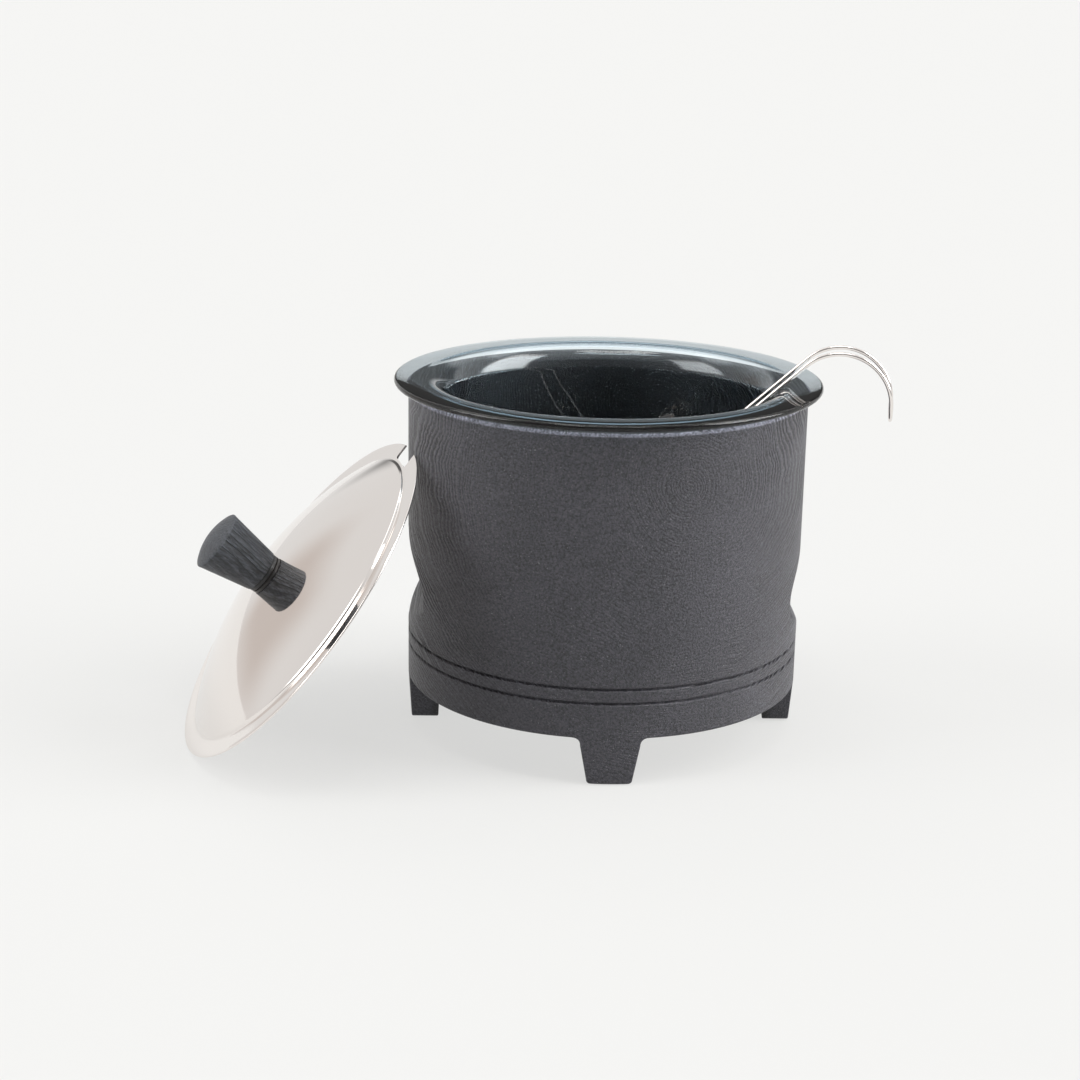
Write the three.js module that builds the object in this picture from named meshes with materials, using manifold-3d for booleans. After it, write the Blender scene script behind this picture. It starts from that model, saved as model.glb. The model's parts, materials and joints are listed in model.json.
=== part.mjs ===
// A heated pot for depilatory wax: a stained wood casing on four feet, a glass bowl with a wide
// flange that hangs in it, a wire-handled ladle hooked over the flange, and a steel lid with a
// turned knob that leans on the casing. Millimetres, +Z up. The origin is the middle of the whole
// set's footprint, at the level of the surface that it stands on.
import * as THREE from 'three';
import { mergeVertices } from 'three/addons/utils/BufferGeometryUtils.js';
import Module from 'manifold-3d';

const wasm = await Module();
wasm.setup();

// ---- driving dimensions -------------------------------------------------------------------

const GAP = 0.3;                    // between pieces that touch
const ROUND = 60;                   // facets around a large round piece
const KNOB_ROUND = 32;              // around a middling one, such as the knob
const SMALL_ROUND = 16;             // facets around a small round piece

const CASING_RADIUS = 125;
const CASING_TOP = 217.4;
const CASING_BORE = 105.5;          // the bowl hangs in this bore
const LOWER_RIM = 30.5;             // bottom of the casing wall, between the feet
const EDGE_CHAMFER = 2;
const SEAT_CHAMFER = 4;             // bevel of the bore's mouth, which the bowl rests on
const GROOVE_HEIGHTS = [52.7, 61.6];
const GROOVE_DEPTH = 1.5;
const GROOVE_HALF_WIDTH = 0.8;
const LEDGE_BORE = 94;              // a ledge in the bore carries the heater from above
const LEDGE_BOTTOM = 42;            // and the base plate from below
const LEDGE_TOP = 64;

const FOOT_BOTTOM = 0.6;            // the pads stand this much proud of the wood
const FOOT_END_HALF_WIDTH = 14;
const FOOT_ROOT_HALF_WIDTH = 18;
const FOOT_CORNER = 3;
const FOOT_FILLET = 5.5;
const FOOT_INNER_TAPER = 0.5;       // a foot's inner and outer faces draw in towards its end
const FOOT_OUTER_TAPER = 2;
const PAD_RADIUS = 6;
const PAD_THICKNESS = 1.8;

const HOLD_DEPTH = 10.4;            // the handholds are straight scoops in the casing's sides
const HOLD_LIP_OUTER = 67;
const HOLD_LIP_INNER = 83.5;
const HOLD_LIP_CURVE = 1.6;         // above 1, the lip bulges
const HOLD_FLOOR_TOP = 93;
const HOLD_FADE_TOP = 127;

const GLASS = 3.6;
const BOWL_RADIUS = 103.5;
const BOWL_BOTTOM = 88;
const BOWL_CORNER = 25;
const LIP_BEND = 13;                // outer radius of the bend between wall and flange
const FLANGE_RADIUS = 134.3;
const FLANGE_UNDERSIDE = 220.4;

const WIRE_RADIUS = 1.35;
const WIRE_HALF_SPREAD = 11;
const LADLE_TURN = -10;             // degrees: where around the rim the ladle hangs
const LADLE_SLOPE = 43;             // degrees
const HOOK_RADIUS = 31.5;
const HOOK_START = [122.5, 238.8];  // outwards and up, where the straight shank ends
const HOOK_DROP_END = 204.5;
const CUP_RADIUS = 36;
const CUP_DEPTH = 29;
const CUP_WALL = 1.2;
const CUP_HEIGHT = 129.5;            // of the middle of the cup's rim

const LID_RADIUS = 116;
const LID_SHEET = 1.2;
const LID_FLANGE_INNER = 105;
const LID_STEP_RADIUS = 103;        // the dome starts here, a small step above the flange
const LID_STEP_HEIGHT = 2.7;
const LID_DOME_HEIGHT = 27.2;
const LID_FOOT = [-261.6, -59.3];     // where its edge stands, measured from the casing's axis
const LID_LEAN = 51.65;             // degrees from the ground
const LID_HEADING = 12.2;           // degrees: the way it leans
const NOTCH_WIDTH = 27;
const NOTCH_DEPTH = 11;
const NOTCH_OFFSET = 3.5;

// ---- geometry helpers ---------------------------------------------------------------------

const radians = THREE.MathUtils.degToRad;

function arc(centreR, centreZ, radius, fromDegrees, toDegrees, steps) {
  const points = [];
  for (let i = 0; i <= steps; i += 1) {
    const angle = radians(fromDegrees + ((toDegrees - fromDegrees) * i) / steps);
    points.push([centreR + radius * Math.cos(angle), centreZ + radius * Math.sin(angle)]);
  }
  return points;
}

// A profile is a list of [radius, height]. It runs anticlockwise, with radius to the right.
function revolve(profile, segments = ROUND) {
  const points = profile.map(([r, z]) => new THREE.Vector2(r, z));
  const onAxis = profile[0][0] === 0 && profile[profile.length - 1][0] === 0;
  if (!onAxis) {
    points.push(points[0].clone());
  }
  return new THREE.LatheGeometry(points, segments).rotateX(Math.PI / 2);
}

function outline(points) {
  return new THREE.Shape(points.map(([x, y]) => new THREE.Vector2(x, y)));
}

// Extrudes a shape drawn in X and Z along Y, centred on Y = 0.
function extrudeAlongY(shape, length) {
  const geometry = new THREE.ExtrudeGeometry(shape, { depth: length, bevelEnabled: false, curveSegments: 5 });
  return geometry.rotateX(Math.PI / 2).translate(0, length / 2, 0);
}

function upright(radius, bottom, top, x = 0, y = 0, segments = SMALL_ROUND) {
  const geometry = new THREE.CylinderGeometry(radius, radius, top - bottom, segments);
  return geometry.rotateX(Math.PI / 2).translate(x, y, (bottom + top) / 2);
}

function block(width, depth, bottom, top, x = 0, y = 0) {
  return new THREE.BoxGeometry(width, depth, top - bottom).translate(x, y, (bottom + top) / 2);
}

function tube(points, radius, steps, sides = 10) {
  const curve = new THREE.CatmullRomCurve3(points, false, 'centripetal');
  const section = outline(arc(0, 0, radius, 0, 360 - 360 / sides, sides - 1));
  return new THREE.ExtrudeGeometry(section, { steps, bevelEnabled: false, extrudePath: curve });
}

function toSolid(geometry) {
  const bare = geometry.clone();
  bare.deleteAttribute('normal');
  bare.deleteAttribute('uv');
  const merged = mergeVertices(bare, 1e-4);
  const mesh = new wasm.Mesh({
    numProp: 3,
    vertProperties: new Float32Array(merged.attributes.position.array),
    triVerts: new Uint32Array(merged.index.array),
  });
  return new wasm.Manifold(mesh);
}

function toGeometry(solid) {
  const mesh = solid.getMesh();
  const geometry = new THREE.BufferGeometry();
  geometry.setAttribute('position', new THREE.BufferAttribute(mesh.vertProperties, 3));
  geometry.setIndex(new THREE.BufferAttribute(mesh.triVerts, 1));
  geometry.computeVertexNormals();
  return geometry;
}

function cut(geometry, ...cutters) {
  let solid = toSolid(geometry);
  for (const cutter of cutters) {
    solid = solid.subtract(toSolid(cutter));
  }
  return toGeometry(solid);
}

function join(...geometries) {
  let solid = toSolid(geometries[0]);
  for (const geometry of geometries.slice(1)) {
    solid = solid.add(toSolid(geometry));
  }
  return toGeometry(solid);
}

function overlap(first, second) {
  return toGeometry(toSolid(first).intersect(toSolid(second)));
}

function ringOf(count, startDegrees, radius) {
  return Array.from({ length: count }, (_, i) => {
    const angle = radians(startDegrees + (360 * i) / count);
    return { x: radius * Math.cos(angle), y: radius * Math.sin(angle) };
  });
}

// ---- materials ----------------------------------------------------------------------------

const MATERIALS = {
  wood: { color: 0x3a393b, roughness: 0.45, metalness: 0 },
  knobWood: { color: 0x35363a, roughness: 0.5, metalness: 0 },
  steel: { color: 0xd9d6d3, roughness: 0.12, metalness: 1 },
  zincSteel: { color: 0xa9abad, roughness: 0.35, metalness: 1 },
  aluminium: { color: 0xb9babd, roughness: 0.4, metalness: 1 },
  brass: { color: 0xb59a55, roughness: 0.3, metalness: 1 },
  glass: { color: 0xdfeef2, roughness: 0.02, metalness: 0, transparent: true, opacity: 0.35 },
  mica: { color: 0xcfc7b4, roughness: 0.9, metalness: 0 },
  ceramic: { color: 0xe9e6df, roughness: 0.5, metalness: 0 },
  blackPlastic: { color: 0x1b1b1c, roughness: 0.45, metalness: 0 },
  rubber: { color: 0x151515, roughness: 0.85, metalness: 0 },
  redLead: { color: 0x8c2b22, roughness: 0.6, metalness: 0 },
  blueLead: { color: 0x27466f, roughness: 0.6, metalness: 0 },
};

function piece(parent, name, geometry, material) {
  const mesh = new THREE.Mesh(geometry, new THREE.MeshStandardMaterial(MATERIALS[material]));
  mesh.name = name;
  parent.add(mesh);
  return mesh;
}

// ---- casing -------------------------------------------------------------------------------

const FEET = [
  { name: 'front', x: 0, y: -1 },
  { name: 'right', x: 1, y: 0 },
  { name: 'back', x: 0, y: 1 },
  { name: 'left', x: -1, y: 0 },
];
const FOOT_END_INNER = CASING_BORE + FOOT_INNER_TAPER;
const FOOT_END_OUTER = CASING_RADIUS - FOOT_OUTER_TAPER;
const PAD_PLACE = (FOOT_END_INNER + FOOT_END_OUTER) / 2;

function casingWall() {
  const grooves = GROOVE_HEIGHTS.flatMap((z) => [
    [CASING_RADIUS, z - GROOVE_HALF_WIDTH],
    [CASING_RADIUS - GROOVE_DEPTH, z],
    [CASING_RADIUS, z + GROOVE_HALF_WIDTH],
  ]);
  return revolve([
    [CASING_BORE, LOWER_RIM],
    [CASING_RADIUS, LOWER_RIM],
    ...grooves,
    [CASING_RADIUS, CASING_TOP - EDGE_CHAMFER],
    [CASING_RADIUS - EDGE_CHAMFER, CASING_TOP],
    [CASING_BORE + SEAT_CHAMFER, CASING_TOP],
    [CASING_BORE, CASING_TOP - SEAT_CHAMFER],
    [CASING_BORE, LEDGE_TOP],
    [LEDGE_BORE, LEDGE_TOP],
    [LEDGE_BORE, LEDGE_BOTTOM],
    [CASING_BORE, LEDGE_BOTTOM],
  ]);
}

// The outline of two opposite feet, seen along the line between them.
function footOutline() {
  const top = LOWER_RIM + GAP;
  const shape = new THREE.Shape();
  shape.moveTo(-FOOT_END_HALF_WIDTH + FOOT_CORNER, FOOT_BOTTOM);
  shape.lineTo(FOOT_END_HALF_WIDTH - FOOT_CORNER, FOOT_BOTTOM);
  shape.quadraticCurveTo(FOOT_END_HALF_WIDTH, FOOT_BOTTOM, FOOT_END_HALF_WIDTH, FOOT_BOTTOM + FOOT_CORNER);
  shape.lineTo(FOOT_ROOT_HALF_WIDTH, LOWER_RIM - FOOT_FILLET);
  shape.quadraticCurveTo(FOOT_ROOT_HALF_WIDTH, LOWER_RIM, FOOT_ROOT_HALF_WIDTH + FOOT_FILLET, LOWER_RIM);
  shape.lineTo(FOOT_ROOT_HALF_WIDTH + FOOT_FILLET, top);
  shape.lineTo(-FOOT_ROOT_HALF_WIDTH - FOOT_FILLET, top);
  shape.lineTo(-FOOT_ROOT_HALF_WIDTH - FOOT_FILLET, LOWER_RIM);
  shape.quadraticCurveTo(-FOOT_ROOT_HALF_WIDTH, LOWER_RIM, -FOOT_ROOT_HALF_WIDTH, LOWER_RIM - FOOT_FILLET);
  shape.lineTo(-FOOT_END_HALF_WIDTH, FOOT_BOTTOM + FOOT_CORNER);
  shape.quadraticCurveTo(-FOOT_END_HALF_WIDTH, FOOT_BOTTOM, -FOOT_END_HALF_WIDTH + FOOT_CORNER, FOOT_BOTTOM);
  return shape;
}

function feet() {
  const ring = revolve([
    [FOOT_END_INNER, 0],
    [FOOT_END_OUTER, 0],
    [CASING_RADIUS, LOWER_RIM],
    [CASING_RADIUS, LOWER_RIM + 1],
    [CASING_BORE, LOWER_RIM + 1],
  ]);
  const frontAndBack = extrudeAlongY(footOutline(), 2 * CASING_RADIUS + 10);
  const sides = frontAndBack.clone().rotateZ(Math.PI / 2);
  return overlap(ring, join(frontAndBack, sides));
}

// A rounded lower lip; above it the scoop's floor fades out into the wall in an S-curve.
function handholdCutter() {
  const clear = 6;
  const steps = 10;
  const lipSteps = 5;
  const { lerp } = THREE.MathUtils;
  const points = [
    [CASING_RADIUS + clear, HOLD_LIP_OUTER],
    [CASING_RADIUS + clear, HOLD_FADE_TOP],
  ];
  for (let i = 0; i < steps; i += 1) {
    const along = i / steps;
    const depth = (HOLD_DEPTH * (1 - Math.cos(Math.PI * along))) / 2;
    points.push([CASING_RADIUS - depth, lerp(HOLD_FADE_TOP, HOLD_FLOOR_TOP, along)]);
  }
  points.push([CASING_RADIUS - HOLD_DEPTH, HOLD_FLOOR_TOP]);
  for (let i = lipSteps; i >= 0; i -= 1) {
    const along = i / lipSteps;
    const depth = HOLD_DEPTH * along ** HOLD_LIP_CURVE;
    points.push([CASING_RADIUS - depth, lerp(HOLD_LIP_OUTER, HOLD_LIP_INNER, along)]);
  }
  return extrudeAlongY(outline(points), 2 * CASING_RADIUS);
}

function padPocket({ x, y }) {
  const pocketTop = PAD_THICKNESS + GAP;
  return upright(PAD_RADIUS + GAP, FOOT_BOTTOM - 1, pocketTop, x * PAD_PLACE, y * PAD_PLACE);
}

// ---- base plate and what hangs on it ------------------------------------------------------

const PLATE_TOP = LEDGE_BOTTOM - GAP;
const PLATE_THICKNESS = 2;
const PLATE_BOTTOM = PLATE_TOP - PLATE_THICKNESS;
const SCREW_PLACES = ringOf(4, 45, (CASING_BORE + LEDGE_BORE) / 2);
const SCREW_SHANK = 1.6;
const SCREW_HEAD = 3.4;
const SCREW_REACH = 10;             // above the ledge's underside
const DIAL_PLACE = { x: 0, y: -44 };
const DIAL_RADIUS = 15;
const DIAL_HEIGHT = 9;
const SPINDLE_REACH = 9;            // how far the spindle goes into the thermostat
const SPINDLE_RADIUS = 3;
const INLET_PLACE = { x: 0, y: 62 };
const INLET_WIDTH = 26;
const INLET_DEPTH = 18;
const INLET_RISE = 15;              // above the base plate
const INLET_RECESS = 12;            // how deep the socket for the plug is
const PIN_RADIUS = 1.3;
const PIN_OFFSET = 5;
const PIN_TOP = PLATE_TOP + INLET_RISE + 1;
const TERMINAL_PLACE = { x: 44, y: 26 };
const TERMINAL_SIZE = [34, 16, 12];
const WELL_RADIUS = 3;
const WELL_BOTTOM = PLATE_TOP + GAP + TERMINAL_SIZE[2] - 4;
const THERMOSTAT_SIZE = [30, 24, 13];
const VENT_RING = 74;
const VENT_RADIUS = 4;

function basePlate() {
  const bottom = PLATE_BOTTOM - 1;
  const top = PLATE_TOP + 1;
  const holes = SCREW_PLACES.map(({ x, y }) => upright(SCREW_SHANK + GAP, bottom, top, x, y));
  const spindleHole = upright(SPINDLE_RADIUS + GAP, bottom, top, DIAL_PLACE.x, DIAL_PLACE.y);
  const inletWindow = block(
    INLET_WIDTH + 2 * GAP, INLET_DEPTH + 2 * GAP, bottom, top, INLET_PLACE.x, INLET_PLACE.y,
  );
  const vents = ringOf(6, 0, VENT_RING)
    .filter(({ y }) => Math.abs(y) > VENT_RADIUS)
    .map(({ x, y }) => upright(VENT_RADIUS, bottom, top, x, y));
  const plate = upright(CASING_BORE - 0.5, PLATE_BOTTOM, PLATE_TOP, 0, 0, ROUND);
  return cut(plate, ...holes, spindleHole, inletWindow, ...vents);
}

function baseScrew({ x, y }) {
  const headTop = PLATE_BOTTOM - GAP;
  const headBottom = headTop - 2;
  return revolve([
    [0, headBottom],
    [SCREW_HEAD * 0.8, headBottom],
    [SCREW_HEAD, headTop - 0.8],
    [SCREW_HEAD, headTop],
    [SCREW_SHANK, headTop],
    [SCREW_SHANK, LEDGE_BOTTOM + SCREW_REACH - 2],
    [0, LEDGE_BOTTOM + SCREW_REACH],
  ], SMALL_ROUND).translate(x, y, 0);
}

function screwPilot({ x, y }) {
  return upright(SCREW_SHANK + GAP, LEDGE_BOTTOM - 1, LEDGE_BOTTOM + SCREW_REACH + GAP, x, y);
}

function controlDial() {
  const top = PLATE_BOTTOM - 1;
  const bottom = top - DIAL_HEIGHT;
  const body = revolve([
    [0, bottom],
    [DIAL_RADIUS - 1, bottom],
    [DIAL_RADIUS, bottom + 1],
    [DIAL_RADIUS, top],
    [0, top],
  ], KNOB_ROUND);
  const socket = upright(SPINDLE_RADIUS + GAP, bottom + 3, top + 1);
  const grips = ringOf(12, 0, DIAL_RADIUS + 0.6)
    .map(({ x, y }) => upright(1.2, bottom - 1, top + 1, x, y, 8));
  return cut(body, socket, ...grips).translate(DIAL_PLACE.x, DIAL_PLACE.y, 0);
}

function dialSpindle() {
  const bottom = PLATE_BOTTOM - DIAL_HEIGHT + 2.5;
  return upright(SPINDLE_RADIUS, bottom, PLATE_TOP + SPINDLE_REACH, DIAL_PLACE.x, DIAL_PLACE.y);
}

function thermostat() {
  const [width, depth, height] = THERMOSTAT_SIZE;
  const bottom = PLATE_TOP + GAP;
  const body = block(width, depth, bottom, bottom + height, DIAL_PLACE.x, DIAL_PLACE.y);
  const boreTop = PLATE_TOP + SPINDLE_REACH + GAP;
  const bore = upright(SPINDLE_RADIUS + GAP, bottom - 1, boreTop, DIAL_PLACE.x, DIAL_PLACE.y);
  return cut(body, bore);
}

const wellX = (i) => TERMINAL_PLACE.x + (i * TERMINAL_SIZE[0]) / 3;

function terminalBlock() {
  const [width, depth, height] = TERMINAL_SIZE;
  const bottom = PLATE_TOP + GAP;
  const body = block(width, depth, bottom, bottom + height, TERMINAL_PLACE.x, TERMINAL_PLACE.y);
  const wells = [-1, 0, 1].map((i) => (
    upright(WELL_RADIUS, WELL_BOTTOM, bottom + height + 1, wellX(i), TERMINAL_PLACE.y)
  ));
  return cut(body, ...wells);
}

function powerInlet() {
  const flangeTop = PLATE_BOTTOM - GAP;
  const flange = block(INLET_WIDTH + 8, INLET_DEPTH + 6, flangeTop - 2, flangeTop);
  const body = block(INLET_WIDTH, INLET_DEPTH, flangeTop - 1, PLATE_TOP + INLET_RISE);
  const recess = block(INLET_WIDTH - 6, INLET_DEPTH - 6, flangeTop - 3, flangeTop + INLET_RECESS);
  const boreTop = PLATE_TOP + INLET_RISE + 1;
  const pinBores = [-1, 1].map((side) => (
    upright(PIN_RADIUS + GAP, flangeTop + INLET_RECESS - 1, boreTop, side * PIN_OFFSET, 0)
  ));
  return cut(join(flange, body), recess, ...pinBores).translate(INLET_PLACE.x, INLET_PLACE.y, 0);
}

function inletPin(side) {
  const x = INLET_PLACE.x + side * PIN_OFFSET;
  return upright(PIN_RADIUS, PLATE_BOTTOM + 2, PIN_TOP, x, INLET_PLACE.y);
}

// ---- heater -------------------------------------------------------------------------------

const SHIELD_BOTTOM = LEDGE_TOP + GAP;
const SHIELD_TOP = SHIELD_BOTTOM + 1.2;
const INSULATION_TOP = SHIELD_TOP + GAP + 8;
const ELEMENT_RADIUS = 3.2;
const ELEMENT_HEIGHT = INSULATION_TOP + GAP + ELEMENT_RADIUS;
const HEAT_PLATE_BOTTOM = ELEMENT_HEIGHT + ELEMENT_RADIUS + 2 * GAP;
const HEAT_PLATE_TOP = BOWL_BOTTOM - 0.4;
const ELEMENT_RING = 62;
const ELEMENT_GAP_ANGLE = 14;       // degrees either side of +X, where its two ends turn down
const LEG_REACH = ELEMENT_RING - 6;
const ELEMENT_LEG = 3;              // how far its ends reach below the heat shield
const INSULATION_WINDOW = [24, 62];
const FUSE_PLACE = { x: -36, y: 10 };
const FUSE_RADIUS = 3;
const FUSE_LENGTH = 14;

function elementLegs() {
  return [1, -1].map((side) => {
    const angle = radians(side * ELEMENT_GAP_ANGLE);
    return { x: LEG_REACH * Math.cos(angle), y: LEG_REACH * Math.sin(angle) };
  });
}

function heatShield() {
  const holes = elementLegs().map(({ x, y }) => (
    upright(ELEMENT_RADIUS + 0.8, SHIELD_BOTTOM - 1, SHIELD_TOP + 1, x, y)
  ));
  return cut(upright(CASING_BORE - 0.7, SHIELD_BOTTOM, SHIELD_TOP, 0, 0, ROUND), ...holes);
}

// The disc has one window, which both bends of the element pass through.
function heatPlate() {
  return upright(CASING_BORE - 9, HEAT_PLATE_BOTTOM, HEAT_PLATE_TOP, 0, 0, ROUND);
}

function insulationDisc() {
  const bottom = SHIELD_TOP + GAP;
  const window = block(...INSULATION_WINDOW, bottom - 1, INSULATION_TOP + 1, LEG_REACH, 0);
  return cut(upright(CASING_BORE - 5, bottom, INSULATION_TOP, 0, 0, ROUND), window);
}

// One turn of tube lying flat, with both ends bent down through the insulation and the shield.
function heatingElement() {
  const [first, last] = elementLegs();
  const legBottom = SHIELD_BOTTOM - ELEMENT_LEG;
  const bend = ELEMENT_HEIGHT - 6;
  const points = [
    new THREE.Vector3(first.x, first.y, legBottom),
    new THREE.Vector3(first.x, first.y, bend),
  ];
  const turns = 20;
  const startAngle = ELEMENT_GAP_ANGLE + 10;
  for (let i = 0; i <= turns; i += 1) {
    const angle = radians(startAngle + ((360 - 2 * startAngle) * i) / turns);
    const [x, y] = [ELEMENT_RING * Math.cos(angle), ELEMENT_RING * Math.sin(angle)];
    points.push(new THREE.Vector3(x, y, ELEMENT_HEIGHT));
  }
  points.push(new THREE.Vector3(last.x, last.y, bend));
  points.push(new THREE.Vector3(last.x, last.y, legBottom));
  return tube(points, ELEMENT_RADIUS, 60, 8);
}

function thermalFuse() {
  const geometry = new THREE.CylinderGeometry(FUSE_RADIUS, FUSE_RADIUS, FUSE_LENGTH, SMALL_ROUND);
  return geometry.translate(FUSE_PLACE.x, FUSE_PLACE.y, SHIELD_BOTTOM - GAP - FUSE_RADIUS);
}

// Insulated wire between two points. It leaves the first by going up or down, runs across at
// the given height, and comes down on the second from above.
function lead(from, rise, to, height) {
  const start = new THREE.Vector3(...from);
  const end = new THREE.Vector3(...to);
  const stub = new THREE.Vector3(0, 0, 3);
  const middle = start.clone().lerp(end, 0.5).setZ(height);
  return tube([
    start,
    start.clone().addScaledVector(stub, rise),
    middle,
    end.clone().add(stub),
    end,
  ], 1.1, 16, 6);
}

// Where the leads end: on a pin, in a well of the terminal block, on the thermostat, and under
// a leg of the heating element.
const LEAD_HEIGHT = PLATE_TOP + 18;
const LEG_BOTTOM = SHIELD_BOTTOM - ELEMENT_LEG - GAP;
const [neutralLeg, liveLeg] = elementLegs();
const pinEnd = (side) => [INLET_PLACE.x + side * PIN_OFFSET, INLET_PLACE.y, PIN_TOP + GAP];
const wellEnd = (i) => [wellX(i), TERMINAL_PLACE.y, WELL_BOTTOM + GAP];
const thermostatEnd = (side) => [
  DIAL_PLACE.x + side * 8,
  DIAL_PLACE.y,
  PLATE_TOP + THERMOSTAT_SIZE[2] + 2 * GAP,
];
const legEnd = ({ x, y }) => [x, y, LEG_BOTTOM];

// ---- bowl ---------------------------------------------------------------------------------

const FLANGE_TOP = FLANGE_UNDERSIDE + GLASS;
const BEND_CENTRE = [BOWL_RADIUS + LIP_BEND, FLANGE_UNDERSIDE - LIP_BEND];

function glassBowl() {
  const bead = GLASS / 2;
  const cornerR = BOWL_RADIUS - BOWL_CORNER;
  const cornerZ = BOWL_BOTTOM + BOWL_CORNER;
  return revolve([
    [0, BOWL_BOTTOM],
    ...arc(cornerR, cornerZ, BOWL_CORNER, -90, 0, 4),
    ...arc(...BEND_CENTRE, LIP_BEND, 180, 90, 4),
    ...arc(FLANGE_RADIUS - bead, FLANGE_UNDERSIDE + bead, bead, -90, 90, 3),
    ...arc(...BEND_CENTRE, LIP_BEND + GLASS, 90, 180, 4),
    ...arc(cornerR, cornerZ, BOWL_CORNER - GLASS, 0, -90, 4),
    [0, BOWL_BOTTOM + GLASS],
  ]);
}

// ---- ladle --------------------------------------------------------------------------------
// It is built with its shank in the plane Y = 0 and then turned about the casing's axis.

const SHANK = new THREE.Vector3(Math.cos(radians(LADLE_SLOPE)), 0, Math.sin(radians(LADLE_SLOPE)));
const SHANK_SIDE = new THREE.Vector3(-SHANK.z, 0, SHANK.x);   // square to the shank, towards the cup
const WIRE_TO_CUP_AXIS = Math.sqrt(CUP_RADIUS ** 2 - WIRE_HALF_SPREAD ** 2) + WIRE_RADIUS + GAP;
const WIRE_BELOW_RIM = 13.5;
const hookStart = new THREE.Vector3(HOOK_START[0], 0, HOOK_START[1]);
const cupRise = HOOK_START[1] + WIRE_TO_CUP_AXIS * SHANK_SIDE.z - CUP_HEIGHT;
const shankLength = cupRise / SHANK.z;
const cupCentre = hookStart.clone()
  .addScaledVector(SHANK, -shankLength)
  .addScaledVector(SHANK_SIDE, WIRE_TO_CUP_AXIS);

// One leg of the wire, from the cup to where the two legs start to join below the hook.
function wireLeg(side) {
  const y = side * WIRE_HALF_SPREAD;
  const points = [1, 0.66, 0.33].map((part) => {
    const back = part === 1 ? shankLength + WIRE_BELOW_RIM : part * shankLength;
    return hookStart.clone().addScaledVector(SHANK, -back).setY(y);
  });
  const centre = hookStart.clone().addScaledVector(SHANK_SIDE, -HOOK_RADIUS);
  for (const [x, z] of arc(centre.x, centre.z, HOOK_RADIUS, 90 + LADLE_SLOPE, 0, 12)) {
    points.push(new THREE.Vector3(x, y, z));
  }
  return points;
}

function ladleHandle() {
  const near = wireLeg(-1);
  const far = wireLeg(1).reverse();
  const tipX = near[near.length - 1].x;
  const joinHeight = HOOK_DROP_END + WIRE_RADIUS + WIRE_HALF_SPREAD;
  const turn = arc(0, joinHeight, WIRE_HALF_SPREAD, 180, 360, 8)
    .map(([y, z]) => new THREE.Vector3(tipX, y, z));
  return tube([...near, ...turn, ...far], WIRE_RADIUS, 110, 8);
}

function cupOuterRadius(below) {
  return CUP_RADIUS * Math.sqrt(1 - (below / CUP_DEPTH) ** 2);
}

const RIVETS = [
  { name: 'upper', below: 4.5 },
  { name: 'lower', below: 11 },
];
const PLATE_INNER = WIRE_TO_CUP_AXIS + WIRE_RADIUS + GAP;
const CLIP_THICKNESS = 1.2;
const RIVET_RADIUS = 1.4;

// A rivet lies across the cup's axis, so it is made upright and laid over.
function rivetShape(radius, from, to, below) {
  return upright(radius, from, to, 0, 0, 16).rotateY(-Math.PI / 2).translate(0, 0, -below);
}

function ladleCup() {
  const quarter = (radius, depth, from, to) => arc(0, 0, 1, from, to, 7)
    .map(([r, z]) => [Math.abs(r) < 1e-9 ? 0 : r * radius, z * depth]);
  const shell = revolve([
    ...quarter(CUP_RADIUS, CUP_DEPTH, -90, 0),
    ...quarter(CUP_RADIUS - CUP_WALL, CUP_DEPTH - CUP_WALL, 0, -90),
  ], KNOB_ROUND);
  const holes = RIVETS
    .map(({ below }) => rivetShape(RIVET_RADIUS + GAP, CUP_RADIUS - 10, CUP_RADIUS + 5, below));
  return cut(shell, ...holes);
}

function ladleClip() {
  const plate = new THREE.BoxGeometry(CLIP_THICKNESS, 2 * WIRE_HALF_SPREAD + 5, 13)
    .translate(-PLATE_INNER - CLIP_THICKNESS / 2, 0, -7.5);
  const holes = RIVETS
    .map(({ below }) => rivetShape(RIVET_RADIUS + GAP, PLATE_INNER - 2, PLATE_INNER + 4, below));
  return cut(plate, ...holes);
}

function ladleRivet(below) {
  const innerHead = cupOuterRadius(below + 3) - CUP_WALL - GAP;
  const outerHead = PLATE_INNER + CLIP_THICKNESS + GAP;
  return join(
    rivetShape(RIVET_RADIUS, innerHead - 0.5, outerHead + 0.5, below),
    rivetShape(2.4, innerHead - 1, innerHead, below),
    rivetShape(2.4, outerHead, outerHead + 1, below),
  );
}

// ---- lid ----------------------------------------------------------------------------------
// It is built flat, its underside at Z = 0, and then stood on its edge against the casing.

const SCREW_BORE = 2.2;
const SCREW_CORE = 1.9;
const KNOB_FOOT = 13.4;             // radius of the grip where it stands on its washer
const KNOB_WASHER = 12.8;
const KNOB_WASHER_BOTTOM = LID_DOME_HEIGHT + GAP;
const KNOB_WASHER_TOP = 29.4;
const KNOB_END = 19.2;
const KNOB_END_HEIGHT = 64.1;
const KNOB_CROWN = 5;
const KNOB_SCREW_TOP = 46;

function domeHeight(radius) {
  const inwards = 1 - (radius / LID_STEP_RADIUS) ** 2;
  return LID_STEP_HEIGHT + (LID_DOME_HEIGHT - LID_STEP_HEIGHT) * inwards;
}

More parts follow.
